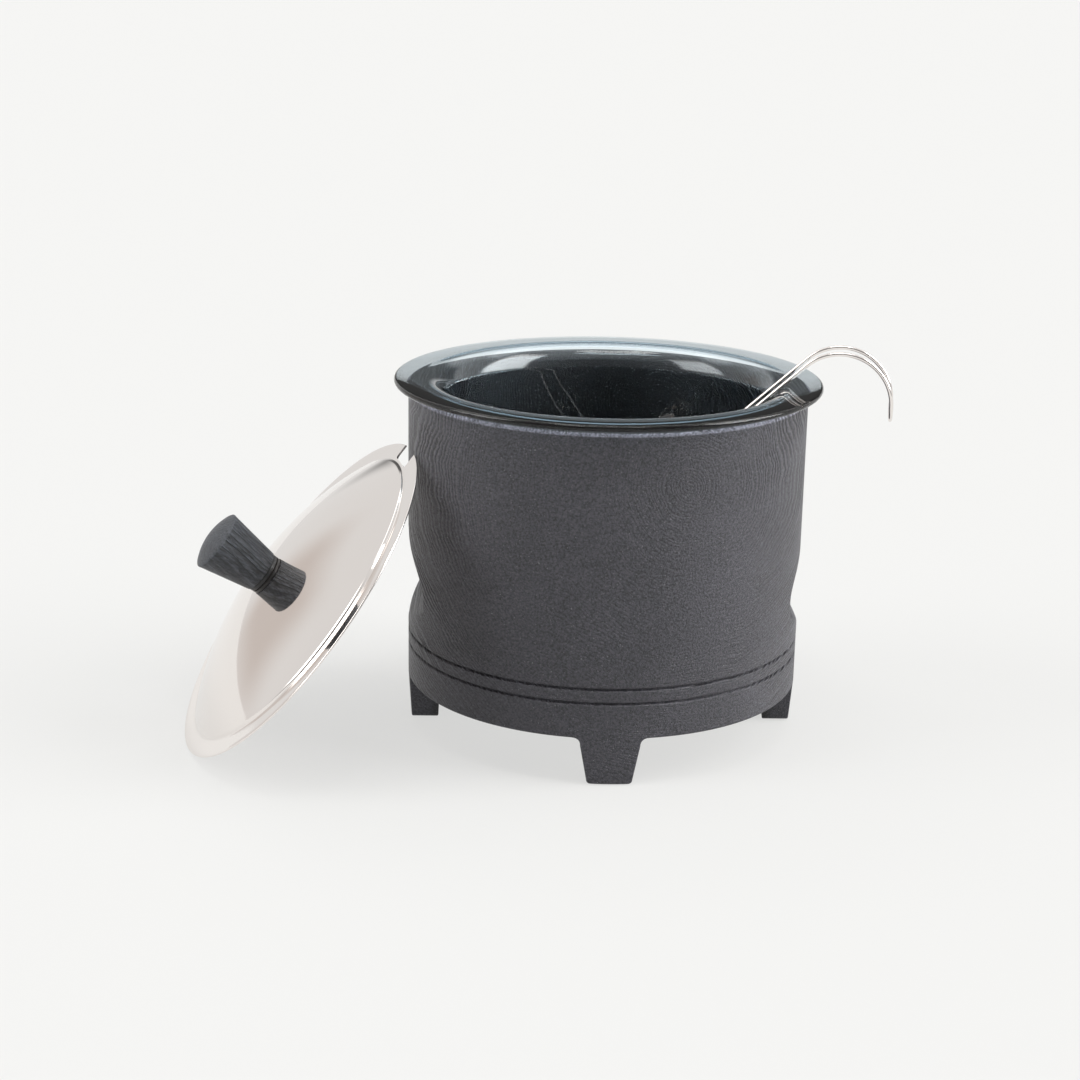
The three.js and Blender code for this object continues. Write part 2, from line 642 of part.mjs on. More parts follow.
function lidPan() {
  const edge = 0.4;
  const domeRadii = [SCREW_BORE, 15, 30, 45, 60, 75, 90, LID_STEP_RADIUS - 2];
  const top = domeRadii.map((r) => [r, domeHeight(r)]);
  const under = top.map(([r, z]) => [r, z - LID_SHEET]);
  const pan = revolve([
    ...under,
    [LID_FLANGE_INNER - 0.8, 0],
    [LID_RADIUS - edge, 0],
    [LID_RADIUS, LID_SHEET / 2],
    [LID_RADIUS - edge, LID_SHEET],
    [LID_FLANGE_INNER, LID_SHEET],
    [LID_STEP_RADIUS, LID_STEP_HEIGHT],
    ...[...top].reverse(),
  ]);
  const notchLength = NOTCH_DEPTH + 10;
  const notch = block(notchLength, NOTCH_WIDTH, -1, LID_STEP_HEIGHT + 4,
    LID_RADIUS - NOTCH_DEPTH + notchLength / 2, NOTCH_OFFSET);
  return cut(pan, notch);
}

function knobWasher() {
  return revolve([
    [SCREW_BORE, KNOB_WASHER_BOTTOM],
    [KNOB_WASHER, KNOB_WASHER_BOTTOM],
    [KNOB_WASHER, KNOB_WASHER_TOP],
    [SCREW_BORE, KNOB_WASHER_TOP],
  ], KNOB_ROUND);
}

function knobGrip() {
  const bottom = KNOB_WASHER_TOP + GAP;
  const crownRadius = (KNOB_END ** 2 + KNOB_CROWN ** 2) / (2 * KNOB_CROWN);
  const crownCentre = KNOB_END_HEIGHT + KNOB_CROWN - crownRadius;
  const crownStart = THREE.MathUtils.radToDeg(Math.asin((KNOB_END_HEIGHT - crownCentre) / crownRadius));
  const crown = arc(0, crownCentre, crownRadius, crownStart, 90, 8).slice(1, -1);
  return revolve([
    [0, KNOB_SCREW_TOP + GAP],
    [SCREW_BORE, KNOB_SCREW_TOP + GAP],
    [SCREW_BORE, bottom],
    [KNOB_FOOT - 0.4, bottom],
    [KNOB_FOOT, bottom + 0.8],
    [KNOB_END - 0.4, KNOB_END_HEIGHT - 1],
    [KNOB_END, KNOB_END_HEIGHT],
    ...crown,
    [0, KNOB_END_HEIGHT + KNOB_CROWN],
  ], KNOB_ROUND);
}

const LID_UNDERSIDE = LID_DOME_HEIGHT - LID_SHEET;

function lidWasher() {
  const top = LID_UNDERSIDE - GAP;
  return revolve([
    [SCREW_BORE, top - 1],
    [7, top - 1],
    [7, top],
    [SCREW_BORE, top],
  ], SMALL_ROUND);
}

function lidScrew() {
  const headTop = LID_UNDERSIDE - 1 - 2 * GAP;
  return revolve([
    [0, headTop - 2.4],
    [3, headTop - 2.4],
    [4, headTop - 1],
    [4, headTop],
    [SCREW_CORE, headTop],
    [SCREW_CORE, KNOB_SCREW_TOP],
    [0, KNOB_SCREW_TOP],
  ], SMALL_ROUND);
}

// ---- assembly -----------------------------------------------------------------------------

const warmer = new THREE.Group();

const casing = new THREE.Group();
warmer.add(casing);
piece(casing, 'casing', cut(
  join(casingWall(), feet()),
  handholdCutter(),
  handholdCutter().rotateZ(Math.PI),
  ...FEET.map(padPocket),
  ...SCREW_PLACES.map(screwPilot),
), 'wood');
for (const { name, x, y } of FEET) {
  const pad = upright(PAD_RADIUS, 0, PAD_THICKNESS, x * PAD_PLACE, y * PAD_PLACE);
  piece(casing, `foot_pad_${name}`, pad, 'rubber');
}
piece(casing, 'base_plate', basePlate(), 'zincSteel');
SCREW_PLACES.forEach((place, i) => piece(casing, `base_screw_${i + 1}`, baseScrew(place), 'zincSteel'));
piece(casing, 'heat_shield', heatShield(), 'aluminium');
piece(casing, 'insulation_disc', insulationDisc(), 'mica');
piece(casing, 'heating_element', heatingElement(), 'zincSteel');
piece(casing, 'heat_plate', heatPlate(), 'aluminium');
piece(casing, 'thermostat', thermostat(), 'ceramic');
piece(casing, 'thermal_fuse', thermalFuse(), 'aluminium');
piece(casing, 'terminal_block', terminalBlock(), 'ceramic');
piece(casing, 'power_inlet', powerInlet(), 'blackPlastic');
piece(casing, 'inlet_pin_live', inletPin(-1), 'brass');
piece(casing, 'inlet_pin_neutral', inletPin(1), 'brass');
piece(casing, 'lead_inlet_neutral', lead(pinEnd(1), 1, wellEnd(-1), LEAD_HEIGHT), 'blueLead');
piece(casing, 'lead_inlet_live', lead(pinEnd(-1), 1, thermostatEnd(-1), LEAD_HEIGHT), 'redLead');
piece(casing, 'lead_element_neutral', lead(legEnd(neutralLeg), -1, wellEnd(1), LEG_BOTTOM - 3), 'blueLead');
piece(casing, 'lead_element_live', lead(legEnd(liveLeg), -1, thermostatEnd(1), LEAD_HEIGHT), 'redLead');

const dial = new THREE.Group();
warmer.add(dial);
piece(dial, 'control_dial', controlDial(), 'blackPlastic');
piece(dial, 'dial_spindle', dialSpindle(), 'brass');

const bowl = new THREE.Group();
warmer.add(bowl);
piece(bowl, 'glass_bowl', glassBowl(), 'glass');

const ladle = new THREE.Group();
ladle.rotation.z = radians(LADLE_TURN);
warmer.add(ladle);
piece(ladle, 'ladle_handle', ladleHandle(), 'steel');
const cup = new THREE.Group();
cup.position.copy(cupCentre);
cup.rotation.y = radians(90 - LADLE_SLOPE);
ladle.add(cup);
piece(cup, 'ladle_cup', ladleCup(), 'steel');
piece(cup, 'ladle_clip', ladleClip(), 'steel');
for (const { name, below } of RIVETS) {
  piece(cup, `ladle_rivet_${name}`, ladleRivet(below), 'steel');
}

const lid = new THREE.Group();
const lean = radians(LID_LEAN);
const heading = radians(LID_HEADING);
const upSlope = new THREE.Vector3(
  Math.cos(lean) * Math.cos(heading),
  Math.cos(lean) * Math.sin(heading),
  Math.sin(lean),
);
const across = new THREE.Vector3(-Math.sin(heading), Math.cos(heading), 0);
const outwards = new THREE.Vector3().crossVectors(upSlope, across);
lid.quaternion.setFromRotationMatrix(new THREE.Matrix4().makeBasis(upSlope, across, outwards));
lid.position.set(...LID_FOOT, 0).addScaledVector(upSlope, LID_RADIUS);
warmer.add(lid);
piece(lid, 'lid_pan', lidPan(), 'steel');
piece(lid, 'knob_washer', knobWasher(), 'blackPlastic');
piece(lid, 'knob_grip', knobGrip(), 'knobWood');
piece(lid, 'lid_washer', lidWasher(), 'zincSteel');
piece(lid, 'lid_screw', lidScrew(), 'zincSteel');

// The whole set is moved so that the origin is under the middle of its bounding box.
const extent = new THREE.Box3().setFromObject(warmer, true);
const middle = extent.getCenter(new THREE.Vector3());
warmer.position.set(-middle.x, -middle.y, -extent.min.z);

export default warmer;
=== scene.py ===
"""The looks of the heated wax pot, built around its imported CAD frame.

Every mesh is made in millimetres and is scaled to metres when its object is made. The casing,
the heat plate and the bowl are measured from the casing's axis at the level of the floor, and the
pads, the ladle and the lid in frames of their own. Angles are in degrees.
"""

import json
import math

import bpy
from mathutils import Matrix, Vector


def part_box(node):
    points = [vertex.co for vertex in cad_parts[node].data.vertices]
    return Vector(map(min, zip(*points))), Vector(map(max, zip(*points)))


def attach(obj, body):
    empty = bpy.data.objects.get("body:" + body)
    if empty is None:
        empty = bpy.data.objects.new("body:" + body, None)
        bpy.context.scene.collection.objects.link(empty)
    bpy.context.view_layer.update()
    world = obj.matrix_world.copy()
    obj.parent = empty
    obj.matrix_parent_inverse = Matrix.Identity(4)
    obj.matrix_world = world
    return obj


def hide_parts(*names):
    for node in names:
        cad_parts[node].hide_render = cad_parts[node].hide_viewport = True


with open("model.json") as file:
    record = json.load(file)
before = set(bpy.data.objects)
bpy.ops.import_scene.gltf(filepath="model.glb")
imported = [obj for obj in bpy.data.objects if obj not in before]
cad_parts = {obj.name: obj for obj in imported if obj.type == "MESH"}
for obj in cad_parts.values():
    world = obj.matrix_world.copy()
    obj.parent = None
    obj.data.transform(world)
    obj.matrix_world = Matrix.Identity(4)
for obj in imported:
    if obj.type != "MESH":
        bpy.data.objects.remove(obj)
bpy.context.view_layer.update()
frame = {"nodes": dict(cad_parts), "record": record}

MM = 0.001
GAP = 0.3                           # clearance between pieces that fit together

# ---- sizes, the CAD's own unless a comment says otherwise ---------------------------------

CASING_RADIUS = 125
CASING_TOP = 217.4
CASING_BORE = 105.5
LOWER_RIM = 30.5
SEAT_CHAMFER = 4
TOP_EDGE = 2.6                      # rounding of the casing's top edge, a chamfer in the CAD
EDGE = 0.9                          # rounding of the wood's lower edges
WALL_STEPS = 112                    # columns of the casing's mesh between two feet
GROOVE_HEIGHTS = (61.6, 52.7)
GROOVE_DEPTH = 1.5
GROOVE_SHOULDER = GROOVE_DEPTH * 0.85
# A groove's section: (depth below the wall, height from its middle), from its top edge down.
GROOVE_SECTION = (
    (0, 2.2), (0, 1.35), (0.08, 1.0), (0.35, 0.75), (GROOVE_SHOULDER, 0.42), (GROOVE_DEPTH, 0),
    (GROOVE_SHOULDER, -0.42), (0.35, -0.8), (0.08, -1.1), (0, -1.5), (0, -2.5),
)
LEDGE_BORE = 94
LEDGE_BOTTOM = 42
LEDGE_TOP = 64

FOOT_ANGLES = (-90, 0, 90, 180)
FOOT_BOTTOM = 0.6
FOOT_END_HALF_WIDTH = 14
FOOT_ROOT_HALF_WIDTH = 18
FOOT_CORNER = 3
FOOT_FILLET = 5.5
FOOT_INNER_TAPER = 0.5
FOOT_OUTER_TAPER = 2
PAD_RADIUS = 6
PAD_THICKNESS = 1.8

HOLD_DEPTH = 10.4
HOLD_LIP_OUTER = 67
HOLD_LIP_INNER = 83.5
HOLD_LIP_CURVE = 1.6
HOLD_FLOOR_TOP = 93
HOLD_FADE_TOP = 127
HOLD_EDGE = 1.1                     # softening of the handhold's edges

PLATE_RING = 8                      # spacing of the turned rings on the heat plate
PLATE_RING_DEPTH = 0.15

GLASS = 3.6
BOWL_RADIUS = 103.5
BOWL_BOTTOM = 88
BOWL_CORNER = 25
LIP_BEND = 13
FLANGE_RADIUS = 134.05              # 0.25 less than the CAD's, to stay inside its facets
FLANGE_UNDERSIDE = 220.4
GLASS_TINT = (0.12, 0.6, 0.86)
GLASS_DENSITY = 40

WIRE_RADIUS = 1.31                  # 0.04 less than the CAD's, to stay inside its facets
WIRE_HALF_SPREAD = 11
LADLE_TURN = -10
LADLE_SLOPE = 43
HOOK_RADIUS = 31.5
HOOK_START = (122.5, 238.8)
HOOK_DROP_END = 204.5
CUP_RADIUS = 36
CUP_DEPTH = 29
CUP_WALL = 1.2
CUP_HEIGHT = 129.5
WIRE_BELOW_RIM = 13.5

LID_RADIUS = 116
LID_RIM = 115.95                    # the edge made here, just inside the CAD's facets
LID_SHEET = 1.2
LID_FLANGE_INNER = 105
LID_STEP_RADIUS = 103
LID_STEP_HEIGHT = 2.7
LID_DOME_HEIGHT = 27.2
LID_FOOT = (-261.6, -59.3)
LID_LEAN = 51.65
LID_HEADING = 12.2
NOTCH_WIDTH = 27
NOTCH_DEPTH = 11
NOTCH_OFFSET = 3.5
NOTCH_CORNER = 2.5

SCREW_BORE = 2.2
KNOB_FOOT = 13.4
KNOB_WASHER = 12.8
KNOB_WASHER_TOP = 29.4
KNOB_END = 19.2
KNOB_END_HEIGHT = 64.1
KNOB_CROWN = 5

# ---- camera -------------------------------------------------------------------------------

LENS = 70.05
CAMERA_PLACE = (-74.35, -1289.53, 499.34)
CAMERA_FORWARD = (0.024808, 0.958424, -0.284267)
CAMERA_ROLL = 1.027

casing_low, casing_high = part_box("casing")
axis = Vector(((casing_low.x + casing_high.x) / 2, (casing_low.y + casing_high.y) / 2, 0))


def make_camera():
    data = bpy.data.cameras.new("camera")
    data.lens = LENS
    data.clip_start = 0.05
    data.clip_end = 200
    camera = bpy.data.objects.new("camera", data)
    bpy.context.scene.collection.objects.link(camera)
    forward = Vector(CAMERA_FORWARD).normalized()
    level = forward.cross(Vector((0, 0, 1))).normalized()
    right = Matrix.Rotation(-math.radians(CAMERA_ROLL), 3, forward) @ level
    up = right.cross(forward)
    turn = Matrix((right, up, -forward)).transposed()
    camera.matrix_world = Matrix.Translation(axis + Vector(CAMERA_PLACE) * MM) @ turn.to_4x4()
    bpy.context.scene.camera = camera


make_camera()

# ---- mesh helpers -------------------------------------------------------------------------


def arc(centre_r, centre_z, radius, start, end, steps):
    angles = [math.radians(start + (end - start) * i / steps) for i in range(steps + 1)]
    return [(centre_r + radius * math.cos(a), centre_z + radius * math.sin(a)) for a in angles]


def lerp(a, b, t):
    return a + (b - a) * t


def spread(start, end, steps):
    """Evenly spaced values, both ends included."""
    return [lerp(start, end, i / steps) for i in range(steps + 1)]


def bend(start, middle, end, steps):
    """Points along a quadratic curve, without its first."""
    return [
        tuple((1 - t) ** 2 * a + 2 * t * (1 - t) * b + t ** 2 * c for a, b, c in zip(start, middle, end))
        for t in spread(0, 1, steps)[1:]
    ]


def rounded(points, radii, steps):
    """A closed outline with each corner rounded by its own radius."""
    result = []
    count = len(points)
    for i, corner in enumerate(points):
        here = Vector(corner)
        before = Vector(points[i - 1]) - here
        after = Vector(points[(i + 1) % count]) - here
        reach = min(radii[i], before.length * 0.45, after.length * 0.45)
        if reach <= 0:
            result.append(tuple(here))
            continue
        start = here + before.normalized() * reach
        end = here + after.normalized() * reach
        for t in spread(0, 1, steps):
            result.append(tuple((1 - t) ** 2 * start + 2 * t * (1 - t) * here + t ** 2 * end))
    return result


def add_object(name, vertices, faces, material, sharp=30, place=None, own_axes=False):
    """A smooth-shaded object whose mesh is in millimetres in the frame of `place`. The turn goes
    into the mesh, so that its box is tight, unless its material needs the object's own axes."""
    place = place if place is not None else Matrix.Translation(axis)
    turn = Matrix.Identity(3) if own_axes else place.to_3x3()
    mesh = bpy.data.meshes.new(name)
    mesh.from_pydata([tuple(turn @ Vector(v) * MM) for v in vertices], [], faces)
    mesh.validate()
    mesh.shade_smooth()
    mesh.set_sharp_from_angle(angle=math.radians(sharp))
    mesh.materials.append(material)
    obj = bpy.data.objects.new(name, mesh)
    bpy.context.scene.collection.objects.link(obj)
    obj.matrix_world = place if own_axes else Matrix.Translation(place.translation)
    return obj


def grid_faces(rows, columns, close_rows=True):
    """Quads over a grid whose columns always close on themselves."""
    faces = []
    for i in range(rows if close_rows else rows - 1):
        j = (i + 1) % rows
        for k in range(columns):
            n = (k + 1) % columns
            faces.append((i * columns + k, i * columns + n, j * columns + n, j * columns + k))
    return faces


def lathe_mesh(profile, segments):
    """Revolves [radius, height] points, given anticlockwise with radius to the right."""
    capped = profile[0][0] < 1e-6 and profile[-1][0] < 1e-6
    rings = profile[1:-1] if capped else profile
    vertices = []
    for r, z in rings:
        for k in range(segments):
            a = 2 * math.pi * k / segments
            vertices.append((r * math.cos(a), r * math.sin(a), z))
    faces = [tuple(f) for f in grid_faces(len(rings), segments, not capped)]
    if capped:
        first, last = len(vertices), len(vertices) + 1
        vertices += [(0, 0, profile[0][1]), (0, 0, profile[-1][1])]
        top = (len(rings) - 1) * segments
        for k in range(segments):
            n = (k + 1) % segments
            faces.append((first, n, k))
            faces.append((last, top + k, top + n))
    return vertices, faces


def lathe(name, profile, material, segments=96, sharp=30, place=None, own_axes=False):
    vertices, faces = lathe_mesh(profile, segments)
    return add_object(name, vertices, faces, material, sharp, place, own_axes)


def sweep(path, radius, sides):
    """A round tube along a list of points, with a low cone on each end."""
    points = [Vector(p) for p in path]
    tangents = []
    for i in range(len(points)):
        a = points[max(i - 1, 0)]
        b = points[min(i + 1, len(points) - 1)]
        tangents.append((b - a).normalized())
    side = tangents[0].orthogonal().normalized()
    vertices = []
    for point, tangent in zip(points, tangents):
        side = (side - tangent * side.dot(tangent)).normalized()
        other = tangent.cross(side)
        for k in range(sides):
            a = 2 * math.pi * k / sides
            vertices.append(tuple(point + (side * math.cos(a) + other * math.sin(a)) * radius))
    faces = [tuple(reversed(f)) for f in grid_faces(len(points), sides, False)]
    for i, away in ((0, -tangents[0]), (len(points) - 1, tangents[-1])):
        tip = len(vertices)
        vertices.append(tuple(points[i] + away * radius * 0.35))
        for k in range(sides):
            n = (k + 1) % sides
            edge = (i * sides + k, i * sides + n)
            faces.append((*reversed(edge), tip) if i else (*edge, tip))
    return vertices, [tuple(reversed(f)) for f in faces]


def soften_edges(obj, width):
    """Small rounded edges on a CAD node, whose own mesh stays as it is."""
    bevel = obj.modifiers.new("edges", "BEVEL")
    bevel.width = width * MM
    bevel.segments = 2
    bevel.limit_method = "ANGLE"
    bevel.angle_limit = math.radians(35)
    bevel.harden_normals = False


# ---- material helpers ---------------------------------------------------------------------


class Graph:
    """Builds a node tree; a socket may be given wherever a value is."""

    def __init__(self, tree):
        self.tree = tree

    def put(self, socket, value):
        if isinstance(value, bpy.types.NodeSocket):
            self.tree.links.new(value, socket)
        else:
            socket.default_value = value

    def node(self, kind, settings=None, **inputs):
        made = self.tree.nodes.new(kind)
        for name, value in (settings or {}).items():
            setattr(made, name, value)
        for name, value in inputs.items():
            self.put(made.inputs[name.replace("_", " ")], value)
        return made

    def math(self, operation, *values):
        made = self.node("ShaderNodeMath", {"operation": operation})
        for socket, value in zip(made.inputs, values):
            self.put(socket, value)
        return made.outputs[0]

    def vector_math(self, operation, *values):
        made = self.node("ShaderNodeVectorMath", {"operation": operation})
        for socket, value in zip(made.inputs, values):
            self.put(socket, value)
        return made.outputs[0]

    def separate(self, vector):
        return self.node("ShaderNodeSeparateXYZ", Vector=vector).outputs

    def combine(self, x, y, z):
        return self.node("ShaderNodeCombineXYZ", X=x, Y=y, Z=z).outputs[0]

    def noise(self, vector, scale, detail=2.0, roughness=0.5):
        made = self.node(
            "ShaderNodeTexNoise", Vector=vector, Scale=scale, Detail=detail, Roughness=roughness)
        return made.outputs["Fac"]

    def voronoi(self, vector, scale):
        made = self.node("ShaderNodeTexVoronoi", Vector=vector, Scale=scale)
        return made.outputs["Distance"]

    def rescale(self, value, low, high, new_low=0.0, new_high=1.0, smooth=True):
        kind = "SMOOTHSTEP" if smooth else "LINEAR"
        made = self.node("ShaderNodeMapRange", {"interpolation_type": kind})
        for socket, given in zip(made.inputs, (value, low, high, new_low, new_high)):
            self.put(socket, given)
        return made.outputs[0]

    def mix(self, factor, first, second):
        made = self.node("ShaderNodeMix", {"data_type": "RGBA"})
        for index, given in ((0, factor), (6, first), (7, second)):
            self.put(made.inputs[index], given)
        return made.outputs[2]

    def bump(self, height, distance):
        made = self.node("ShaderNodeBump", Height=height, Distance=distance, Strength=1.0)
        return made.outputs[0]


def colour(r, g, b):
    return (r, g, b, 1.0)


class Material(Graph):
    """A material on the Principled shader, with the object's coordinates in millimetres."""

    def __init__(self, name, **shader_values):
        self.material = bpy.data.materials.new(name)
        self.material.use_nodes = True
        super().__init__(self.material.node_tree)
        self.shader = self.tree.nodes["Principled BSDF"]
        for socket, value in shader_values.items():
            self.put(self.shader.inputs[socket.replace("_", " ")], value)
        coordinates = self.node("ShaderNodeTexCoord").outputs["Object"]
        self.place = self.vector_math("MULTIPLY", coordinates, (1 / MM, 1 / MM, 1 / MM))

    def set(self, **values):
        for socket, value in values.items():
            self.put(self.shader.inputs[socket.replace("_", " ")], value)


def wood(name, fibre, pith, ring, tone, speck_tone, pore_size, wobble, rim=None):
    """Dark stained, open-grained wood. Rings lie round a line along the fibre axis through
    pith. Pores are long along the fibres, so they are dots on end grain and streaks beside it,
    where the soft part of each ring is brushed out and stands lower; beside the grain each ring's
    raised crest gets a painted highlight. A casing's rim is (bore, radius, top, edge): painted
    shade makes the wood nearly black in the bore and on the top face under the glass flange, and
    a painted highlight makes the rounded edge pale."""
    m = Material(name)
    x, y, z = m.separate(m.place)
    _, ny, nz = m.separate(m.node("ShaderNodeTexCoord").outputs["Normal"])
    across, up, along = {"y": (x, z, y), "z": (x, y, z)}[fibre]
    end_grain = m.math("ABSOLUTE", {"y": ny, "z": nz}[fibre])
    beside = m.rescale(end_grain, 0.45, 0.9, 1.0, 0.0)
    slow = m.combine(across, up, m.math("MULTIPLY", along, 0.3))
    fibrous = m.combine(across, up, m.math("MULTIPLY", along, 0.07))
    wave = m.math("SUBTRACT", m.noise(slow, 0.011, 2.0), 0.5)
    ripple = m.math("SUBTRACT", m.noise(slow, 0.05, 3.0), 0.5)
    shiver = m.math("SUBTRACT", m.noise(fibrous, 0.35, 2.0), 0.5)
    dx = m.math("SUBTRACT", across, pith[0])
    dy = m.math("SUBTRACT", up, pith[1])
    distance = m.math("SQRT", m.math("ADD", m.math("MULTIPLY", dx, dx), m.math("MULTIPLY", dy, dy)))
    distance = m.math("MULTIPLY_ADD", wave, wobble, distance)
    distance = m.math("MULTIPLY_ADD", ripple, wobble * 0.3, distance)
    distance = m.math("MULTIPLY_ADD", shiver, ring * 0.55, distance)
    years = m.math("DIVIDE", distance, ring)
    drift = m.noise(m.combine(m.math("MULTIPLY", years, 0.3), 0.0, 0.0), 1.0, 1.0)
    years = m.math("MULTIPLY_ADD", drift, 3.0, years)
    phase = m.math("FRACT", years)
    rise = m.rescale(phase, 0.0, 0.16)
    fall = m.rescale(phase, 0.22, 0.8, 1.0, 0.0)
    plain = m.rescale(m.noise(slow, 0.035, 3.0), 0.35, 0.65, 0.25, 1.0)
    early = m.math("MULTIPLY", m.math("MULTIPLY", rise, fall), plain)
    # Painted highlight: a pale line along each ring's raised crest beside the grain, where the ridge
    # catches the light.
    crest_highlight = m.math("MULTIPLY", m.rescale(phase, 0.78, 0.96), beside)
    size = m.math("MULTIPLY_ADD", early, 0.26, 0.18)
    cells = m.voronoi(fibrous, 1 / pore_size)
    pore = m.rescale(cells, m.math("MULTIPLY", size, 0.4), size, 1.0, 0.0)
    light = m.rescale(m.noise(fibrous, 0.9, 2.0, 0.6), 0.5, 0.72)
    fine = m.noise(fibrous, 0.75, 4.0, 0.75)
    # Early wood is darker; beside the grain the darkening is much stronger, partly grain and partly
    # painted shade in the brushed-out hollows.
    contrast = m.math("MULTIPLY_ADD", beside, 0.5, 0.2)
    shade = m.math("SUBTRACT", 1.08, m.math("MULTIPLY", early, contrast))
    shade = m.math("MULTIPLY_ADD", crest_highlight, 0.5, shade)
    shade = m.math("MULTIPLY", shade, m.rescale(fine, 0.36, 0.64, 0.35, 1.65, smooth=False))
    cloudy = m.noise(slow, 0.02, 3.0)
    shade = m.math("MULTIPLY", shade, m.rescale(cloudy, 0.3, 0.7, 0.86, 1.14, smooth=False))
    if rim:
        bore, outside, top, edge = rim
        radius = m.math("SQRT", m.math("ADD", m.math("MULTIPLY", x, x), m.math("MULTIPLY", y, y)))
        # Painted shade: darkened to a fifth in the bore and up to 8 mm out from it, which takes in the
        # feet's inner faces.
        shade = m.math("MULTIPLY", shade, m.rescale(radius, bore + 2, bore + 8, 0.2, 1.0))
        # Painted shadow of the glass flange: the flat top face darkens to a fifth.
        shade = m.math("MULTIPLY", shade, m.rescale(z, top - 0.3, top - 0.05, 1.0, 0.2))
        # Painted highlight: the rounded top outer edge is made up to four times as bright, standing in for
        # a reflection of the overhead light.
        near_top = m.rescale(z, top - edge, top - edge * 0.6)
        near_outside = m.rescale(radius, outside - edge, outside - edge * 0.6)
        painted_edge_highlight = m.math("MULTIPLY", near_top, near_outside)
        shade = m.math("MULTIPLY", shade, m.math("MULTIPLY_ADD", painted_edge_highlight, 3.0, 1.0))
    base = m.vector_math("SCALE", tone)
    m.put(base.node.inputs["Scale"], shade)
    filled = m.math("MULTIPLY", pore, m.math("MULTIPLY_ADD", light, 0.85, 0.1))
    body = m.mix(filled, base, colour(*speck_tone))
    depth = m.math("MULTIPLY_ADD", beside, -0.7, -0.15)
    height = m.math("MULTIPLY_ADD", pore, -0.2, m.math("MULTIPLY", early, depth))
    height = m.math("MULTIPLY_ADD", fine, 0.8, height)
    m.set(
        Base_Color=body,
        Roughness=m.math("MULTIPLY_ADD", pore, 0.2, m.rescale(fine, 0.2, 0.8, 0.36, 0.5, smooth=False)),
        Normal=m.bump(height, MM),
    )
    return m.material


def metal(name, tone, roughness, grain, grain_scale, waviness=0.0):
    """Metal with faint smudges in its gloss, fine grain, and optionally slow waviness."""
    m = Material(name, Metallic=1.0, Base_Color=colour(*tone))
    smudge = m.noise(m.place, 0.035, 4.0, 0.6)
    speck = m.noise(m.place, grain_scale * 12, 3.0, 0.6)
    rough = m.rescale(smudge, 0.3, 0.75, roughness * 0.75, roughness * 1.35)
    height = m.math("MULTIPLY", speck, grain)
    height = m.math("MULTIPLY_ADD", m.noise(m.place, 0.02, 1.0), waviness, height)
    m.set(Roughness=rough, Normal=m.bump(height, MM))
    return m.material


def matt(name, tone, roughness, scale, contrast, relief):
    """Moulded or pressed stuff: an even colour broken up by fine mottling and relief."""
    m = Material(name)
    mottle = m.noise(m.place, scale, 4.0, 0.6)
    slow = m.noise(m.place, scale * 0.08, 2.0)
    shade = m.math(
        "MULTIPLY",
        m.rescale(mottle, 0.3, 0.7, 1 - contrast, 1 + contrast, smooth=False),
        m.rescale(slow, 0.3, 0.7, 1 - contrast * 0.6, 1 + contrast * 0.6, smooth=False),
    )
    base = m.vector_math("SCALE", tone)
    m.put(base.node.inputs["Scale"], shade)
    roughest = min(1.0, roughness * 1.1)
    m.set(
        Base_Color=base,
        Roughness=m.rescale(mottle, 0.3, 0.7, roughness * 0.9, roughest, smooth=False),
        Normal=m.bump(m.math("MULTIPLY", mottle, relief), MM),
    )
    return m.material


def clear_glass(name):
    """Clear glass whose blue deepens with the length of glass looked through."""
    m = Material(name, Base_Color=colour(1.0, 1.0, 1.0), Transmission_Weight=1.0, IOR=1.47)
    ripple = m.noise(m.place, 0.03, 1.0)
    smudge = m.rescale(m.noise(m.place, 0.05, 3.0), 0.4, 0.8, 0.0, 0.01)
    m.set(Roughness=smudge, Normal=m.bump(ripple, 0.1 * MM))
    depth = m.node("ShaderNodeVolumeAbsorption", Color=colour(*GLASS_TINT), Density=GLASS_DENSITY)
    m.tree.links.new(depth.outputs[0], m.tree.nodes["Material Output"].inputs["Volume"])
    return m.material


MATERIALS = {
    # The casing's wood carries painted shade in its bore and on its top face, and a painted highlight on
    # its rounded top edge.
    "stained_wood": wood(
        "stained_wood", fibre="y", pith=(42, 185), ring=2.1, tone=(0.058, 0.057, 0.068),
        speck_tone=(0.32, 0.32, 0.35), pore_size=1.6, wobble=26,
        rim=(CASING_BORE, CASING_RADIUS, CASING_TOP, TOP_EDGE)),
    "knob_wood": wood(
        "knob_wood", fibre="z", pith=(24, 9), ring=2.6, tone=(0.045, 0.05, 0.06),
        speck_tone=(0.17, 0.18, 0.2), pore_size=1.2, wobble=9),
    "polished_steel": metal("polished_steel", (0.86, 0.815, 0.785), 0.045, 0.0015, 0.2, 0.25),
    "zinc_steel": metal("zinc_steel", (0.62, 0.63, 0.64), 0.36, 0.02, 0.12),
    "aluminium": metal("aluminium", (0.72, 0.72, 0.73), 0.38, 0.02, 0.1),
    "brass": metal("brass", (0.72, 0.56, 0.28), 0.28, 0.01, 0.15),
    "clear_glass": clear_glass("clear_glass"),
    "mineral_board": matt("mineral_board", (0.62, 0.57, 0.47), 0.9, 0.7, 0.2, 0.15),
    "ceramic": matt("ceramic", (0.78, 0.76, 0.71), 0.5, 1.2, 0.05, 0.02),
    "black_plastic": matt("black_plastic", (0.022, 0.022, 0.023), 0.42, 2.5, 0.1, 0.03),
    "rubber": matt("rubber", (0.02, 0.02, 0.02), 0.85, 1.8, 0.15, 0.05),
    "red_lead": matt("red_lead", (0.33, 0.05, 0.035), 0.55, 1.5, 0.08, 0.01),
    "blue_lead": matt("blue_lead", (0.05, 0.09, 0.25), 0.55, 1.5, 0.08, 0.01),
}


def finish_piece(piece, body, slot, *nodes):
    """Rides, and takes the place of the CAD nodes; the slot is not used."""
    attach(piece, body)
    if nodes:
        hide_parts(*nodes)
    return piece


# ---- casing -------------------------------------------------------------------------------


